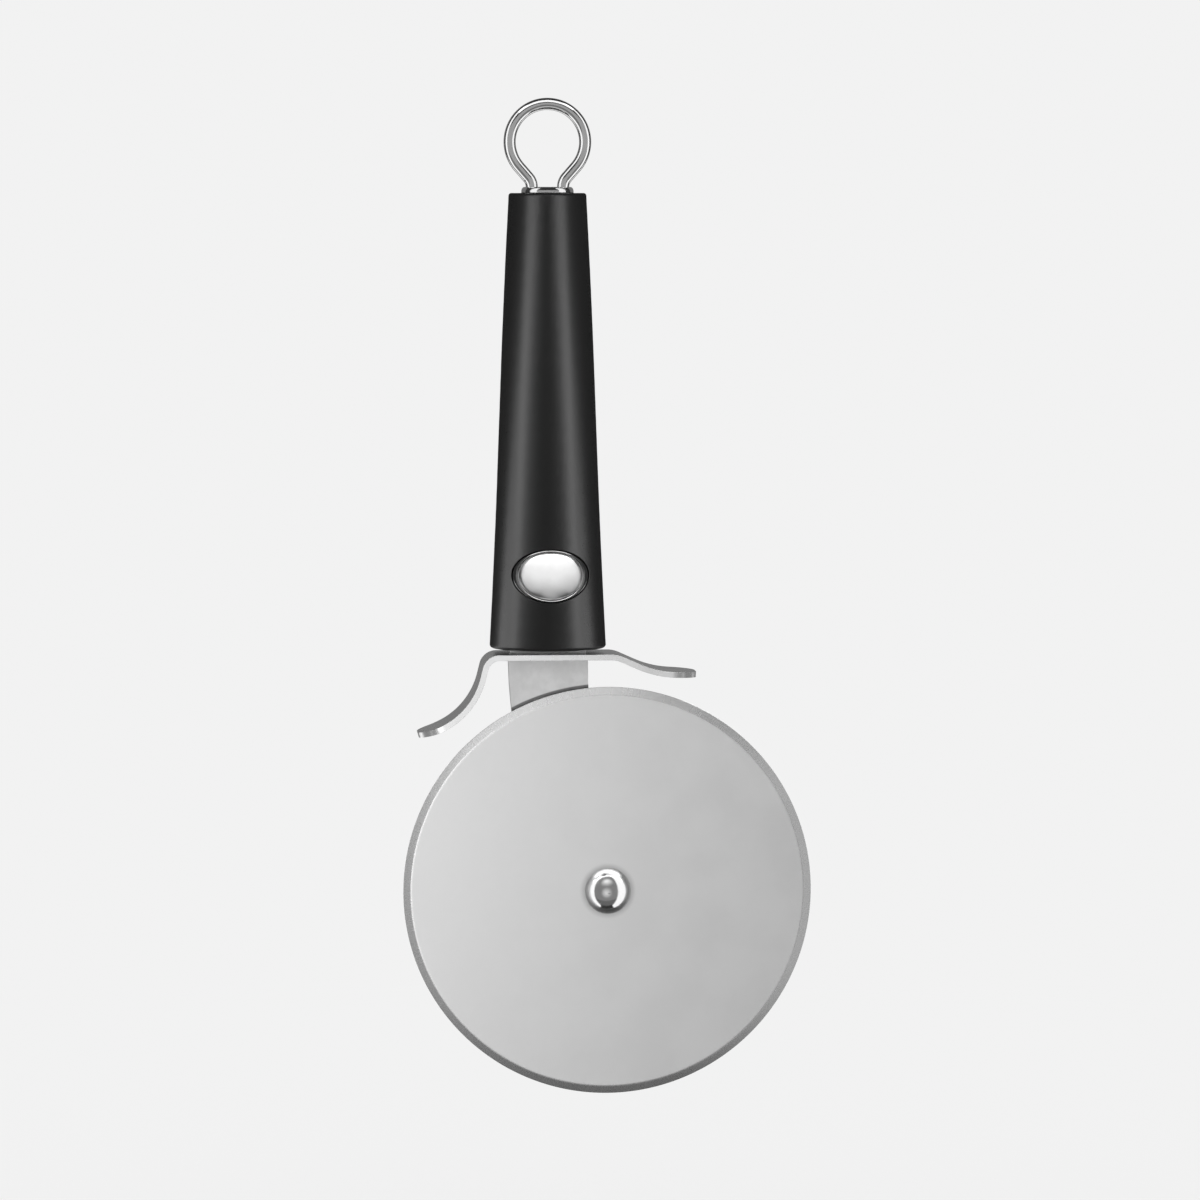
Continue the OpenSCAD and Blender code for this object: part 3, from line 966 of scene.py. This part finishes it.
@dataclass
class Badge(SubAssembly):
    """The bare domed medallion, and the bezel that lies round it on the barrel."""

    barrel: Barrel = field(default_factory=Barrel)
    centre_z: float = -107.15 * MM
    half_w: float = 7.9 * MM
    half_h: float = 6.0 * MM
    crown_r: float = 15.5 * MM
    proud: float = 0.99 * MM
    pillow: float = 0.7 * MM
    fit: float = 0.03 * MM
    pocket_depth: float = 1.7 * MM
    bezel_side: float = 1.45 * MM
    bezel_end: float = 0.35 * MM
    bezel_proud: float = 0.25 * MM
    bezel_drop: float = 0.3 * MM
    sides: int = 144
    rings: int = 12
    pillow_rings: int = 6
    crest_rings: int = 10
    under_shares: tuple[float, ...] = (1.0, 0.7, 0.4)

    def floor(self, x: float, z: float) -> float:
        """How far in front of the axis the pocket's floor lies.

        Args:
            x: Place across the barrel.
            z: Height, with which the floor doesn't change.

        Returns:
            The distance.
        """
        radius = self.barrel.radius(self.centre_z) - self.pocket_depth + self.fit
        return math.sqrt(radius * radius - x * x)

    def crown(self, x: float, z: float) -> float:
        """How far in front of the axis the medallion's crown lies.

        Args:
            x: Place across the barrel.
            z: Height.

        Returns:
            The distance.
        """
        top = self.barrel.radius(self.centre_z) + self.proud
        low = z - self.centre_z + self.crown_r * self.barrel.slope()
        return top - self.crown_r + math.sqrt(self.crown_r ** 2 - x * x - low * low)

    def skin(self, lift: float) -> Form:
        """The barrel's skin, lifted.

        Args:
            lift: How far the form stands over the barrel.

        Returns:
            A form for the loft.
        """
        return lambda x, z: math.sqrt((self.barrel.radius(z) + lift) ** 2 - x * x)

    def lowered_crown(self, drop: float) -> Form:
        """The medallion's crown, lowered.

        Args:
            drop: How far the form lies under the crown.

        Returns:
            A form for the loft.
        """
        return lambda x, z: self.crown(x, z) - drop

    def build(self) -> None:
        """Makes the medallion and the bezel."""
        self.build_medallion()
        self.build_bezel()

    def build_medallion(self) -> None:
        """Draws ovals out over the crown, round the pillowed edge and back under the piece."""
        bm = bmesh.new()
        loft = OvalLoft(bm, self.sides, self.centre_z)
        flat = 1.0 - self.pillow / self.half_h
        shares = [flat * (i + 1) / self.rings for i in range(self.rings)]
        first = shares[0]
        loft.shape(self.half_w * first, self.half_h * first, self.crown)
        for share in shares[1:]:
            loft.draw(self.half_w * share, self.half_h * share, self.crown)
        for i in range(1, self.pillow_rings + 1):
            turn = math.radians(90.0 * i / self.pillow_rings)
            inset = self.pillow * (1.0 - math.sin(turn))
            drop = self.pillow * (1.0 - math.cos(turn))
            edge = self.lowered_crown(drop)
            loft.draw(self.half_w - inset, self.half_h - inset, edge)
        for share in self.under_shares + (first,):
            loft.draw(self.half_w * share, self.half_h * share, self.floor)
        for loop, form in ((loft.first, self.crown), (loft.loop, self.floor)):
            cap = bmesh.ops.holes_fill(bm, edges=edges_between(loop), sides=0)["faces"]
            middle = bmesh.ops.poke(bm, faces=cap)["verts"]
            for vertex in middle:
                vertex.co = Vector((0.0, -form(0.0, self.centre_z), self.centre_z))
        bmesh.ops.recalc_face_normals(bm, faces=bm.faces)
        self.keep(bm, "medallion", Body.HANDLE, Slot.BADGE, "badge")

    def build_bezel(self) -> None:
        """Draws ovals out over the bezel's rounded crest and back under it."""
        bm = bmesh.new()
        loft = OvalLoft(bm, self.sides, self.centre_z)
        inner_w, inner_h = self.half_w + self.fit, self.half_h + self.fit
        loft.shape(inner_w, inner_h, self.floor)
        for i in range(self.crest_rings + 1):
            turn = math.pi * i / self.crest_rings
            share = (1.0 - math.cos(turn)) / 2
            lift = self.bezel_proud - self.bezel_drop * (1.0 - math.sin(turn))
            loft.draw(inner_w + self.bezel_side * share, inner_h + self.bezel_end * share, self.skin(lift))
        loft.draw(inner_w + self.bezel_side, inner_h + self.bezel_end, self.floor)
        bmesh.ops.bridge_loops(bm, edges=edges_between(loft.first) + edges_between(loft.loop))
        bmesh.ops.recalc_face_normals(bm, faces=bm.faces)
        self.keep(bm, "bezel_ring", Body.HANDLE, Slot.BEZEL, "badge_bezel")

    def finish(self) -> None:
        """Dresses the medallion and the bezel."""
        satin = PolishedMetal("badge_satin", level=0.86, rough=0.4, grain=Grain.ALONG_X)
        self.dress({
            "medallion": satin.material(),
            "bezel_ring": PolishedMetal("bezel_nickel", level=0.6, rough=0.16).material(),
        })


@dataclass
class FingerGuard(SubAssembly):
    """The strip that is bent down and swept out on either side, with rounded ends and a slot."""

    top_z: float = -127.15 * MM
    thick: float = 1.4 * MM
    depth: float = 16.0 * MM
    corner_r: float = 6.2 * MM
    corner_steps: int = 14
    slot_half_w: float = 9.53 * MM
    slot_half_t: float = 1.03 * MM
    edge_round: float = 0.28 * MM
    step: float = 2.0
    left: Wing = Wing(
        flat=12.5 * MM, bend_r=4.3 * MM, bend=76.0, run=2.5 * MM,
        sweep_r=18.2 * MM, sweep=60.0, tip=2.9 * MM,
    )
    right: Wing = Wing(
        flat=15.4 * MM, bend_r=7.4 * MM, bend=24.0, run=4.2 * MM,
        sweep_r=24.8 * MM, sweep=21.0, tip=6.0 * MM,
    )

    def build(self) -> None:
        """Draws the strip's top face both ways from the axis, trims it and gives it a thickness."""
        bm = bmesh.new()
        half = self.depth / 2
        row = chain(bm, [Vector((0.0, y, self.top_z)) for y in (-half, half)])
        self.wing(bm, row, 0.0, 1.0, self.right)
        self.wing(bm, row, 180.0, -1.0, self.left)
        for side in (-1.0, 1.0):
            self.round_end(bm, side)
        self.cut_slot(bm)
        bmesh.ops.recalc_face_normals(bm, faces=bm.faces)
        if sum(f.normal.z * f.calc_area() for f in bm.faces) < 0:
            bmesh.ops.reverse_faces(bm, faces=bm.faces)
        piece = self.keep(bm, "guard_strip", Body.HANDLE, Slot.GUARD, "finger_guard")
        wall = piece.modifiers.new("thickness", "SOLIDIFY")
        wall.thickness = self.thick
        wall.offset = -1.0
        wall.use_even_offset = True
        self.soften(piece, self.edge_round)

    def wing(self, bm: bmesh.types.BMesh, row: Edges, heading: float, down: float, sizes: Wing) -> None:
        """Draws one wing from the handle's axis to its tip.

        Args:
            bm: The strip's mesh.
            row: The strip's section at the axis.
            heading: Direction in which the wing sets off.
            down: 1 where a growing heading turns down, or -1.
            sizes: The wing's sizes.
        """
        path = Sweep(bm, row, (0.0, self.top_z), heading)
        path.straight(sizes.flat).bend(sizes.bend_r, down * sizes.bend, self.step).straight(sizes.run)
        path.bend(sizes.sweep_r, -down * sizes.sweep, self.step).straight(sizes.tip)

    def round_end(self, bm: bmesh.types.BMesh, side: float) -> None:
        """Narrows the strip to a round end, seen from above.

        Args:
            bm: The strip's mesh.
            side: 1 for the right end, or -1.
        """
        end = side * max(side * v.co.x for v in bm.verts)
        start = end - side * self.corner_r
        for i in range(self.corner_steps):
            x = start + side * self.corner_r * math.sin(math.radians(90.0 * i / self.corner_steps))
            self.cut(bm, Vector((x, 0.0, 0.0)), Vector((1.0, 0.0, 0.0)))
        half = self.depth / 2
        for vertex in bm.verts:
            along = (vertex.co.x - start) / (end - start)
            if along > 0.0:
                drop = self.corner_r * (1.0 - math.sqrt(max(0.0, 1.0 - along * along)))
                vertex.co.y *= (half - drop) / half

    def cut(self, bm: bmesh.types.BMesh, point: Vector, normal: Vector) -> None:
        """Splits the faces that a plane crosses.

        Args:
            bm: The strip's mesh.
            point: Point on the plane.
            normal: The plane's normal.
        """
        bmesh.ops.bisect_plane(
            bm, geom=bm.verts[:] + bm.edges[:] + bm.faces[:], dist=CLOSE, plane_co=point, plane_no=normal
        )

    def cut_slot(self, bm: bmesh.types.BMesh) -> None:
        """Opens the slot that the tang goes through.

        Args:
            bm: The strip's mesh.
        """
        for side in (-1.0, 1.0):
            self.cut(bm, Vector((side * self.slot_half_w, 0.0, 0.0)), Vector((1.0, 0.0, 0.0)))
            self.cut(bm, Vector((0.0, side * self.slot_half_t, 0.0)), Vector((0.0, 1.0, 0.0)))
        inside = [
            f for f in bm.faces
            if abs(f.calc_center_median().x) < self.slot_half_w
            and abs(f.calc_center_median().y) < self.slot_half_t
        ]
        bmesh.ops.delete(bm, geom=inside, context="FACES")

    def finish(self) -> None:
        """Dresses the strip."""
        steel = SatinSteel(
            "guard_steel_satin", level=0.74, rough=0.27, grain=Grain.ACROSS_Y, line_depth=0.002 * MM
        )
        self.dress({"guard_strip": steel.material()})


@dataclass
class Arm(SubAssembly):
    """The flat curved arm with its shoulders and tang."""

    edge_round: float = 0.2 * MM
    axle: Vector = field(default_factory=AXLE.copy)
    flat_angle: float = 0.3

    def build(self) -> None:
        """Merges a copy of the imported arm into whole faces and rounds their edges."""
        bm = bmesh.new()
        bm.from_mesh(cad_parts["neck"].data)
        bmesh.ops.remove_doubles(bm, verts=bm.verts, dist=CLOSE)
        bmesh.ops.dissolve_limit(
            bm, angle_limit=math.radians(self.flat_angle), use_dissolve_boundaries=False,
            verts=bm.verts, edges=bm.edges,
        )
        piece = self.keep(bm, "arm_plate", Body.HANDLE, Slot.ARM, "neck")
        self.soften(piece, self.edge_round)

    def finish(self) -> None:
        """Dresses the arm."""
        self.dress({"arm_plate": ArmSteel("arm_steel_sheet", centre=self.axle).material()})


@dataclass
class CuttingWheel(SubAssembly):
    """The bevelled disc, and the washer between it and the arm."""

    axle: Vector = field(default_factory=AXLE.copy)
    back_y: float = -1.9 * MM
    thick: float = 1.5 * MM
    radius: float = 51.185 * MM
    bevel_w: float = 1.95 * MM
    edge_thick: float = 0.3 * MM
    bore_r: float = 3.05 * MM
    sides: int = 288
    face_round: float = 0.3 * MM
    rim_round: float = 0.06 * MM
    bore_round: float = 0.15 * MM
    round_steps: int = 3

    def build(self) -> None:
        """Spins the disc's section round the axle and rounds its corners."""
        bm = bmesh.new()
        front_y, land = self.back_y - self.thick, (self.thick - self.edge_thick) / 2
        face_r = self.radius - self.bevel_w
        section = [
            (self.bore_r, front_y), (face_r, front_y), (self.radius, front_y + land),
            (self.radius, self.back_y - land), (face_r, self.back_y), (self.bore_r, self.back_y),
        ]
        spot = [Vector((self.axle.x + r, y, self.axle.z)) for r, y in section]
        row = chain(bm, spot)
        row.append(bm.edges.new((row[-1].verts[1], row[0].verts[0])))
        bmesh.ops.spin(
            bm, geom=row, cent=self.axle, axis=(0.0, 1.0, 0.0), dvec=(0.0, 0.0, 0.0),
            angle=math.tau, steps=self.sides, use_merge=True, use_duplicate=False,
        )
        bmesh.ops.remove_doubles(bm, verts=bm.verts, dist=CLOSE)
        self.round_rings(bm, self.bore_r, self.bore_round)
        self.round_rings(bm, face_r, self.face_round)
        self.round_rings(bm, self.radius, self.rim_round)
        bmesh.ops.recalc_face_normals(bm, faces=bm.faces)
        piece = self.keep(bm, "blade_wheel", Body.WHEEL, Slot.WHEEL, "wheel")
        self.flatten_shading(piece)

    def on_ring(self, edge: bmesh.types.BMEdge, radius: float) -> bool:
        """Tells whether an edge runs round the axle at one radius.

        Args:
            edge: The edge.
            radius: Distance from the axle.

        Returns:
            Whether it does.
        """
        places = [v.co - self.axle for v in edge.verts]
        level = abs(places[0].y - places[1].y) < RING_CLOSE
        return level and all(abs(math.hypot(p.x, p.z) - radius) < RING_CLOSE for p in places)

    def round_rings(self, bm: bmesh.types.BMesh, radius: float, width: float) -> None:
        """Rounds the edges that run round the axle at one radius.

        Args:
            bm: The disc's mesh.
            radius: Their distance from the axle.
            width: Width of the rounding.
        """
        rings = [e for e in bm.edges if self.on_ring(e, radius)]
        bmesh.ops.bevel(
            bm, geom=rings, offset=width, offset_type="OFFSET", segments=self.round_steps, profile=0.5,
            affect="EDGES", material=-1,
        )

    def finish(self) -> None:
        """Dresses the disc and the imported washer."""
        face_r = self.radius - self.bevel_w
        self.dress({
            "blade_wheel": WheelSteel("blade_steel", centre=self.axle, face_radius=face_r).material(),
            "spacer_washer": Nylon("bearing_nylon", edge=0.1 * MM).material(),
        })


@dataclass
class Rivet(SubAssembly):
    """The two halves of the rivet that the wheel turns on."""

    def build(self) -> None:
        """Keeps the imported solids, whose domes are exact."""
        LOG.info("kept axle_rivet and rivet_socket")

    def finish(self) -> None:
        """Dresses both halves."""
        dome = PolishedMetal("rivet_plate", edge=0.15 * MM, level=0.85, rough=0.12)
        socket = PolishedMetal("socket_plate", edge=0.15 * MM, level=0.75, rough=0.16)
        self.dress({"axle_rivet": dome.material(), "rivet_socket": socket.material()})


# ---------------------------------------------------------------- studio


def around(azimuth: float, height: float, radius: float) -> Vector:
    """A place round the tool's axis.

    Args:
        azimuth: Degrees from straight in front, growing to the right.
        height: Height of the place.
        radius: Distance from the axis.

    Returns:
        The place.
    """
    turn = math.radians(azimuth)
    return Vector((radius * math.sin(turn), -radius * math.cos(turn), height))


def facing(y: float, x: Pair, z: Pair) -> Corners:
    """Corners of an upright rectangle across the view.

    Args:
        y: Its station in depth.
        x: Its left and right side.
        z: Its lower and upper side.

    Returns:
        Its four corners.
    """
    return (
        Vector((x[0], y, z[0])), Vector((x[1], y, z[0])), Vector((x[1], y, z[1])), Vector((x[0], y, z[1])),
    )


def leaning(half_w: float, y: Pair, z: Pair) -> Corners:
    """Corners of a panel over the tool, from its front edge to its back edge.

    Args:
        half_w: Half its width.
        y: Stations of the two edges.
        z: Heights of the two edges.

    Returns:
        Its four corners.
    """
    return (
        Vector((-half_w, y[0], z[0])), Vector((half_w, y[0], z[0])),
        Vector((half_w, y[1], z[1])), Vector((-half_w, y[1], z[1])),
    )


def beside(low: Pair, high: Pair, heights: Pair, radius: float) -> Corners:
    """Corners of an upright panel beside the tool.

    Args:
        low: Azimuths of its sides at its lower end.
        high: Azimuths of its sides at its upper end.
        heights: Its lower and upper height.
        radius: Its distance from the axis.

    Returns:
        Its four corners.
    """
    return (
        around(low[0], heights[0], radius), around(low[1], heights[0], radius),
        around(high[1], heights[1], radius), around(high[0], heights[1], radius),
    )


def upright(azimuths: Pair, heights: Pair, radius: float) -> Corners:
    """Corners of an upright rectangle beside the tool."""
    return beside(azimuths, azimuths, heights, radius)


@dataclass(frozen=True)
class Viewpoint:
    """Where the photograph was taken from."""

    azimuth: float = -4.4
    pitch: float = 4.3
    distance: float = 1.35
    aim: Vector = field(default_factory=lambda: Vector((0.013095, 0.0, -0.114086)))
    lens: float = 162.04

    def place(self) -> None:
        """Makes the camera and turns it to its aim."""
        data = bpy.data.cameras.new("camera")
        data.lens = self.lens
        camera = bpy.data.objects.new("camera", data)
        bpy.context.scene.collection.objects.link(camera)
        turn, rise = math.radians(self.azimuth), math.radians(self.pitch)
        back = Vector((math.sin(turn) * math.cos(rise), -math.cos(turn) * math.cos(rise), math.sin(rise)))
        camera.location = self.aim + back * self.distance
        camera.rotation_mode = "QUATERNION"
        camera.rotation_quaternion = (-back).to_track_quat("-Z", "Y")
        bpy.context.scene.camera = camera


@dataclass(frozen=True)
class Panel:
    """A glowing panel that shows in reflections alone and that rays pass through.

    It shows in all pieces, only in the named ones, or in all but the named ones. One that fades
    glows full at its peak, or else in its middle, and not at all at that distance from it. Two
    panels that overlap each have a station of their own, because a ray meets only one of two
    that lie in the same plane.
    """

    name: str
    corners: Corners
    glow: float
    only: tuple[str, ...] = ()
    never: tuple[str, ...] = ()
    fades: float = 0.0
    peak: Vector | None = None

    def mesh(self) -> bpy.types.Mesh:
        """Spans the panel between its corners.

        Returns:
            The panel's mesh.
        """
        bm = bmesh.new()
        bmesh.ops.contextual_create(bm, geom=[bm.verts.new(c) for c in self.corners])
        mesh = bpy.data.meshes.new(self.name)
        bm.to_mesh(mesh)
        bm.free()
        return mesh

    def surface(self) -> bpy.types.Material:
        """Makes the glow, which rays also pass through.

        Returns:
            The panel's material.
        """
        s = Shader(self.name + "_glow")
        strength = self.glow
        if self.fades:
            peak = self.peak or sum(self.corners, Vector()) / len(self.corners)
            away = s.vector_math("LENGTH", s.placed(peak)).outputs["Value"]
            strength = s.span(away, self.glow, 0.0, 0.0, self.fades)
        glow = s.feed(s.add("ShaderNodeEmission"), Color=(1.0, 1.0, 1.0, 1.0), Strength=strength)
        both = s.add("ShaderNodeAddShader")
        s.plug(both.inputs[0], glow.outputs["Emission"])
        s.plug(both.inputs[1], s.add("ShaderNodeBsdfTransparent").outputs["BSDF"])
        output = s.add("ShaderNodeOutputMaterial")
        s.tree.links.new(both.outputs["Shader"], output.inputs["Surface"])
        return s.material

    def build(self, pieces: dict[str, bpy.types.Object]) -> None:
        """Makes the panel and sets where it shows.

        Args:
            pieces: All pieces and nodes, by name.
        """
        mesh = self.mesh()
        panel = bpy.data.objects.new(self.name, mesh)
        bpy.context.scene.collection.objects.link(panel)
        mesh.materials.append(self.surface())
        panel.visible_camera = False
        panel.visible_shadow = False
        panel.visible_transmission = False
        panel.visible_diffuse = False
        if self.only or self.never:
            panel.light_linking.receiver_collection = self.receivers(pieces)

    def receivers(self, pieces: dict[str, bpy.types.Object]) -> bpy.types.Collection:
        """Gathers the pieces that the panel shows in, or those that it doesn't.

        Args:
            pieces: All pieces and nodes, by name.

        Returns:
            The collection for light linking.
        """
        group = bpy.data.collections.new(self.name + "_lights")
        for name in self.only or self.never:
            group.objects.link(pieces[name])
        if self.never:
            for item in group.collection_objects:
                item.light_linking.link_state = "EXCLUDE"
        return group


@dataclass(frozen=True)
class Studio:
    """Pale floor and backdrop, soft panels and the world."""

    paper: float = 0.887
    floor_z: float = -0.30
    floor_size: float = 12.0
    fill: float = 1.0
    dark: float = 0.04
    near: float = 0.15
    far: float = 0.6
    near_glow: float = 0.4

    def build(self, pieces: dict[str, bpy.types.Object]) -> None:
        """Makes the world, the floor and the panels.

        Args:
            pieces: All pieces and nodes, by name.
        """
        bpy.context.scene.view_settings.view_transform = "Standard"
        self.build_world()
        self.build_floor()
        for panel in self.panels():
            panel.build(pieces)
        LOG.info("lit the studio")

    def panels(self) -> list[Panel]:
        """Gathers all the panels.

        Returns:
            The panels that show in most pieces, then those for single pieces.
        """
        return (
            self.side_panels() + self.flat_panels() + self.guard_panels() + self.badge_panels()
            + self.loop_panels() + self.rivet_panels()
        )

    def side_panels(self) -> list[Panel]:
        """The panels that make the grip's two long highlights and show in the whole tool.

        Returns:
            The panels.
        """
        mirrors = ("axle_rivet", "wire_loop", "loop_ferrule", "medallion", "bezel_ring")
        no_side = mirrors + ("blade_wheel", "guard_strip")
        no_top = ("axle_rivet", "wire_loop", "loop_ferrule", "grip")
        no_back = ("axle_rivet", "blade_wheel", "arm_plate")
        left = beside((-88, -134), (-8, -54), (-0.22, 0.14), 0.5)
        right = beside((69, 113), (-3, 41), (-0.22, 0.14), 0.5)
        top = leaning(0.3, (-0.15, 0.02), (0.065, 0.32))
        return [
            Panel("left_panel", left, 2.2, never=no_side),
            Panel("right_panel", right, 2.2, never=no_side),
            Panel("top_panel", top, 3.0, never=no_top),
            Panel("low_back", upright((110, 250), (-0.8, -0.24), 0.8), 0.9, never=no_back),
        ]

    def flat_panels(self) -> list[Panel]:
        """The panels that show in the wheel, the arm and the guard, with a peak at the left.

        Returns:
            The panels.
        """
        disc, plates = ("blade_wheel",), ("blade_wheel", "arm_plate")
        flat = plates + ("guard_strip",)
        front = facing(-0.7, (-0.31, 0.4), (-0.56, 0.5))
        peak = Vector((-0.26, -0.7, -0.2))
        return [
            Panel("front_peak", front, 1.9, only=flat, fades=0.45, peak=peak),
            Panel("front_even", facing(-0.72, (-0.31, 0.4), (-0.56, 0.6)), 0.15, only=flat),
            Panel("disc_right", facing(-0.73, (0.38, 1.0), (-0.8, 0.15)), 0.22, only=disc),
            Panel("disc_top", facing(-0.74, (-0.3, 0.25), (0.08, 0.6)), 0.45, only=disc),
            Panel("room_back", facing(1.5, (-3.0, 3.0), (-2.0, 1.5)), 0.18, only=flat),
            Panel("back_even", facing(1.45, (-0.7, 0.7), (-1.1, 0.6)), 0.5, only=plates),
            Panel("room_front", facing(-1.8, (-3.0, 3.0), (-1.45, 1.5)), 0.3, only=flat),
            Panel("room_low", facing(-1.8, (-3.0, 3.0), (-2.6, -1.45)), 0.12, only=flat),
        ]

    def guard_panels(self) -> list[Panel]:
        """The panels beside the tool that show in the guard's wings.

        Returns:
            The panels.
        """
        guard = ("guard_strip",)
        return [
            Panel("guard_left", upright((-50, -130), (-0.9, 0.3), 0.6), 0.25, only=guard),
            Panel("guard_right", upright((50, 130), (-0.9, 0.3), 0.6), 0.25, only=guard),
        ]

    def badge_panels(self) -> list[Panel]:
        """The panels that show in the badge and its bezel.

        Returns:
            The panels.
        """
        face, both = ("medallion",), ("medallion", "bezel_ring")
        return [
            Panel("badge_front", facing(-0.705, (-1.3, 1.3), (-0.46, 0.7)), 0.85, only=face),
            Panel("badge_room", facing(-0.725, (-2.0, 2.0), (-0.2, 0.9)), 0.2, only=both),
        ]

    def loop_panels(self) -> list[Panel]:
        """The panels that show in the loop and the ferrule.

        Returns:
            The panels.
        """
        loop, wire = ("wire_loop", "loop_ferrule"), ("wire_loop",)
        return [
            Panel("loop_front", facing(-0.71, (-0.9, 0.9), (-0.16, 0.3)), 0.34, only=loop),
            Panel("loop_low", facing(-0.71, (-0.9, 0.9), (-0.7, -0.16)), 0.14, only=loop),
            Panel("loop_base", facing(-0.71, (-0.9, 0.9), (-2.4, -0.7)), 0.5, only=loop),
            Panel("loop_left", upright((-52, -86), (-0.6, 0.9), 0.5), 1.1, only=loop),
            Panel("loop_right", upright((50, 84), (-0.6, 0.9), 0.5), 1.1, only=loop),
            Panel("loop_top", leaning(0.35, (-0.5, -0.09), (0.4, 0.4)), 1.2, only=wire),
            Panel("loop_back", facing(1.6, (-3.0, 3.0), (-2.0, 1.5)), 0.15, only=loop),
        ]

    def rivet_panels(self) -> list[Panel]:
        """The panels that show in the rivet's dome: two sides, a top and two soft spots.

        Returns:
            The panels.
        """
        dome, disc, both = ("axle_rivet",), ("blade_wheel",), ("axle_rivet", "blade_wheel")
        spot = facing(-0.5, (-0.38, 0.26), (-0.57, 0.07))
        lamp = facing(-0.3, (-0.34, 0.28), (-0.12, 0.48))
        return [
            Panel("rivet_left", upright((-68, -125), (-1.1, 1.5), 0.4), 1.15, only=both),
            Panel("rivet_right", upright((49, 115), (-1.1, 1.5), 0.4), 1.1, only=dome),
            Panel("wheel_right", upright((76, 118), (-1.1, 0.7), 0.4), 1.1, only=disc),
            Panel("rivet_top", leaning(0.5, (-0.085, 0.1), (0.1, 0.1)), 1.2, only=both),
            Panel("rivet_front", upright((-68, 49), (-0.4, 1.5), 0.4), 0.2, only=dome),
            Panel("rivet_low", upright((-68, 49), (-0.9, -0.4), 0.4), 0.1, only=dome),
            Panel("rivet_spot", spot, 0.5, only=dome, fades=0.3),
            Panel("rivet_lamp", lamp, 0.8, only=dome, fades=0.28),
        ]

    def build_world(self) -> None:
        """Makes a world that the camera sees as pale paper and metal as a dark room."""
        world = bpy.data.worlds.new("studio")
        bpy.context.scene.world = world
        world.use_nodes = True
        tree = world.node_tree
        tree.nodes.clear()
        path = tree.nodes.new("ShaderNodeLightPath")
        seen = self.background(tree, self.paper)
        for ray, level in (("Is Diffuse Ray", self.fill), ("Is Glossy Ray", self.dark)):
            mix = tree.nodes.new("ShaderNodeMixShader")
            tree.links.new(path.outputs[ray], mix.inputs[0])
            tree.links.new(seen, mix.inputs[1])
            tree.links.new(self.background(tree, level), mix.inputs[2])
            seen = mix.outputs[0]
        output = tree.nodes.new("ShaderNodeOutputWorld")
        tree.links.new(seen, output.inputs["Surface"])

    def background(self, tree: bpy.types.NodeTree, level: float) -> Socket:
        """A plain grey background.

        Args:
            tree: The world's node tree.
            level: Its linear level.

        Returns:
            The shader socket.
        """
        node = tree.nodes.new("ShaderNodeBackground")
        node.inputs["Color"].default_value = (level, level, level, 1.0)
        return node.outputs[0]

    def build_floor(self) -> None:
        """Lays a pale floor that keeps the tool's shadow and fades into the backdrop."""
        bm = bmesh.new()
        bmesh.ops.create_grid(
            bm, x_segments=1, y_segments=1, size=self.floor_size / 2,
            matrix=Matrix.Translation((0.0, 0.0, self.floor_z)),
        )
        mesh = bpy.data.meshes.new("floor")
        bm.to_mesh(mesh)
        bm.free()
        floor = bpy.data.objects.new("floor", mesh)
        bpy.context.scene.collection.objects.link(floor)
        floor.visible_glossy = False
        pale = (self.paper, self.paper, self.paper, 1.0)
        s = Shader("floor_paper")
        matt = s.feed(s.add("ShaderNodeBsdfDiffuse"), Color=pale)
        glow = s.feed(s.add("ShaderNodeEmission"), Color=pale, Strength=1.0)
        seen = s.add("ShaderNodeLightPath").outputs["Is Camera Ray"]
        flat = s.placed(stretch=(1.0, 1.0, 0.0))
        distance = s.vector_math("LENGTH", flat).outputs["Value"]
        share = s.span(distance, self.near_glow, 1.0, self.near, self.far)
        mix = s.add("ShaderNodeMixShader")
        s.plug(mix.inputs[0], s.math("MULTIPLY", seen, share))
        s.plug(mix.inputs[1], matt.outputs["BSDF"])
        s.plug(mix.inputs[2], glow.outputs["Emission"])
        output = s.add("ShaderNodeOutputMaterial")
        s.tree.links.new(mix.outputs["Shader"], output.inputs["Surface"])
        mesh.materials.append(s.material)


def main() -> None:
    """Builds each sub-assembly in order and the studio round them."""
    logging.basicConfig(level=logging.INFO, format="%(message)s")
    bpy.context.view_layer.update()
    Viewpoint().place()
    pieces = dict(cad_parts)
    for part in (HangingLoop(), BarrelGrip(), Badge(), FingerGuard(), Arm(), CuttingWheel(), Rivet()):
        part.build()
        part.finish()
        pieces.update(part.made)
    Studio().build(pieces)


if __name__ == "__main__":
    main()
